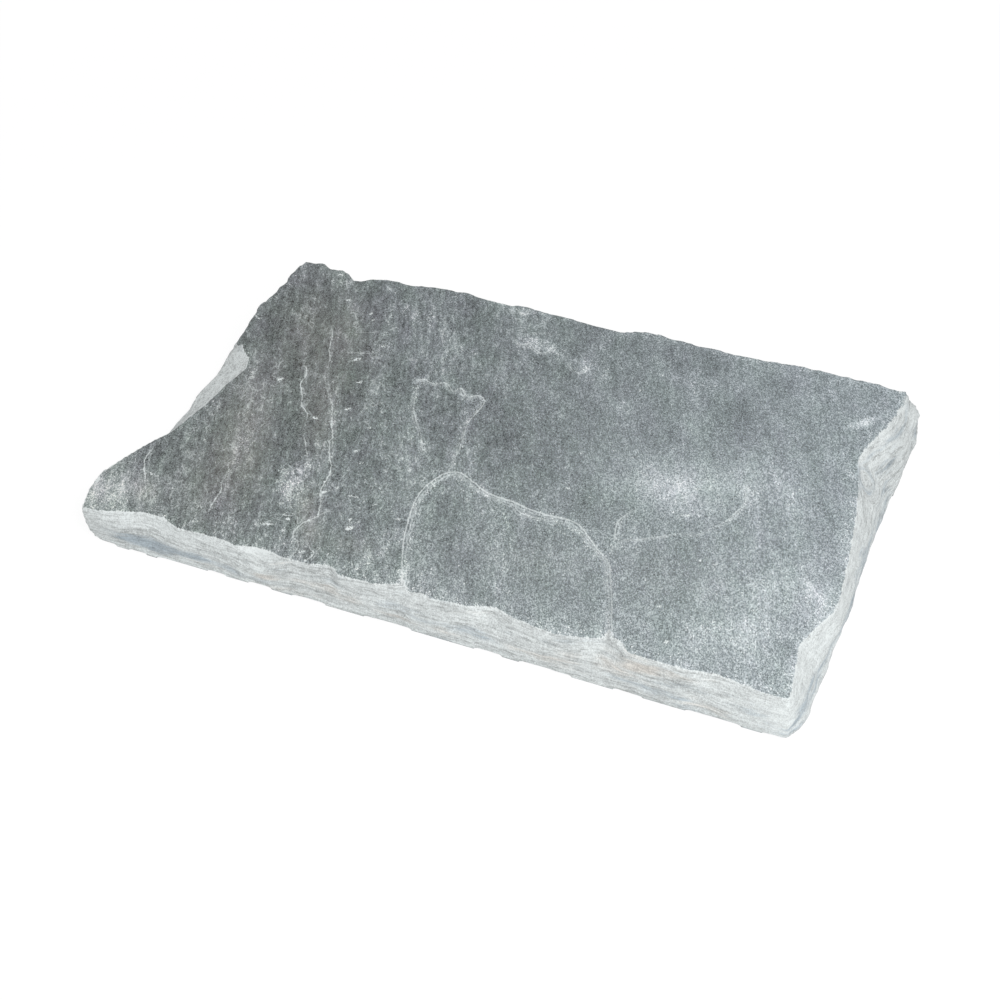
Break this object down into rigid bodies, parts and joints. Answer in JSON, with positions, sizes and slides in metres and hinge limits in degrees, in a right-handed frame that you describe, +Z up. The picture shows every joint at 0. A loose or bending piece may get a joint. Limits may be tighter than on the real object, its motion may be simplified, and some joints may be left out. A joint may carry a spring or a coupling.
{
  "type": "slate stepping stone",
  "caption": "Flat rectangular slab of grey riven slate with hand broken edges, laid on the ground as a stepping stone or paving slab.",
  "frame": {"origin": "middle of the slab's bounding rectangle, on the bed face that it lies on", "axes": "+X along the slab's length towards its thicker end, +Y across its width from the front edge to the back edge, +Z up out of the tread"},
  "size_m": [0.52, 0.352, 0.031],
  "materials": {
    "riven_slate": "natural cleft, matt"
  },
  "bodies": {
    "root": {"stepping_stone": "riven_slate"}
  },
  "joints": []
}
